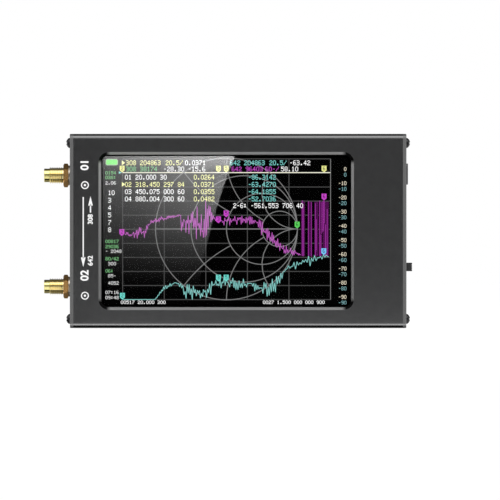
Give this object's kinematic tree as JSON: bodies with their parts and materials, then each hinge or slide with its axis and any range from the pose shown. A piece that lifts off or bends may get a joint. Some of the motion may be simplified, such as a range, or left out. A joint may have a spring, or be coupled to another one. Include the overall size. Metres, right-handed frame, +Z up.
{
  "type": "handheld antenna analyzer",
  "caption": "Slim black metal box with a wide colour display, two gold threaded coaxial ports on the left end, and a rocker lever and button on the right end.",
  "frame": {"origin": "middle of the case's bottom face, on which the part stands", "axes": "+X along the case from the coaxial ports to the controls, +Y from the display to the rear, +Z up"},
  "size_m": [0.1424, 0.022, 0.075],
  "materials": {
    "case_black": "satin",
    "plate_black": "satin",
    "screw_steel": "satin",
    "lens_glass": "gloss",
    "adhesive_black": "matte",
    "gasket_foam": "matte",
    "lcd_glass": "gloss",
    "backlight_white": "satin",
    "display_tray": "satin",
    "ribbon_amber": "satin",
    "connector_ivory": "satin",
    "latch_brown": "satin",
    "board_green": "satin",
    "chip_black": "matte",
    "shield_tin": "satin",
    "port_gold": "polished",
    "port_insulator": "satin",
    "washer_nickel": "satin",
    "socket_steel": "satin",
    "socket_black": "satin",
    "led_white": "satin",
    "light_pipe_clear": "satin",
    "button_grey": "satin",
    "lever_black": "satin",
    "switch_steel": "satin",
    "cell_foil": "satin",
    "pad_foam": "matte",
    "insulator_sheet": "matte",
    "wire_red": "satin",
    "wire_black": "satin"
  },
  "bodies": {
    "analyzer": {"front_shell": "case_black", "rear_shell": "case_black", "left_end_plate": "plate_black", "right_end_plate": "plate_black", "left_plate_screws": "screw_steel", "right_plate_screws": "screw_steel", "cover_lens": "lens_glass", "lens_adhesive": "adhesive_black", "display_gasket": "gasket_foam", "lcd_panel": "lcd_glass", "lcd_backlight": "backlight_white", "lcd_frame": "display_tray", "lcd_ribbon": "ribbon_amber", "ribbon_connector": "connector_ivory", "ribbon_latch": "latch_brown", "main_board": "board_green", "processor": "chip_black", "flash_memory": "chip_black", "signal_synthesizer": "chip_black", "reference_oscillator": "shield_tin", "charge_regulator": "chip_black", "power_inductor": "chip_black", "usb_c_shell": "socket_steel", "usb_c_tongue": "socket_black", "status_leds": "led_white", "led_light_pipes": "light_pipe_clear", "power_switch_body": "chip_black", "jog_body": "lever_black", "jog_cover": "switch_steel", "battery_insulator": "insulator_sheet", "battery_cell": "cell_foil", "battery_pad": "pad_foam", "battery_board": "board_green", "battery_wire_red": "wire_red", "battery_wire_black": "wire_black", "battery_plug": "connector_ivory", "battery_socket": "connector_ivory", "port_1_jack": "port_gold", "port_1_dielectric": "port_insulator", "port_1_contact": "port_gold", "port_1_washer": "washer_nickel", "port_1_nut": "port_gold", "rf_shield_1": "shield_tin", "rf_mixers_1": "chip_black", "port_2_jack": "port_gold", "port_2_dielectric": "port_insulator", "port_2_contact": "port_gold", "port_2_washer": "washer_nickel", "port_2_nut": "port_gold", "rf_shield_2": "shield_tin", "rf_mixers_2": "chip_black"},
    "power_key": {"power_button": "button_grey", "power_switch_stem": "lever_black"},
    "jog_carriage": {"jog_slider": "connector_ivory"},
    "jog_lever": {"jog_lever": "lever_black"}
  },
  "joints": [
    {"name": "power_press", "type": "slide", "parent": "analyzer", "child": "power_key", "axis": [-1, 0, 0], "range_m": [0, 0.0003], "stiffness_N_per_m": 1500},
    {"name": "jog_push", "type": "slide", "parent": "analyzer", "child": "jog_carriage", "axis": [-1, 0, 0], "range_m": [0, 0.0005], "stiffness_N_per_m": 1500},
    {"name": "jog_rock", "type": "hinge", "parent": "jog_carriage", "child": "jog_lever", "pos_m": [0.06, 0, 0.0236], "axis": [0, 1, 0], "range_deg": [-10, 10], "stiffness_Nm_per_rad": 0.02}
  ]
}
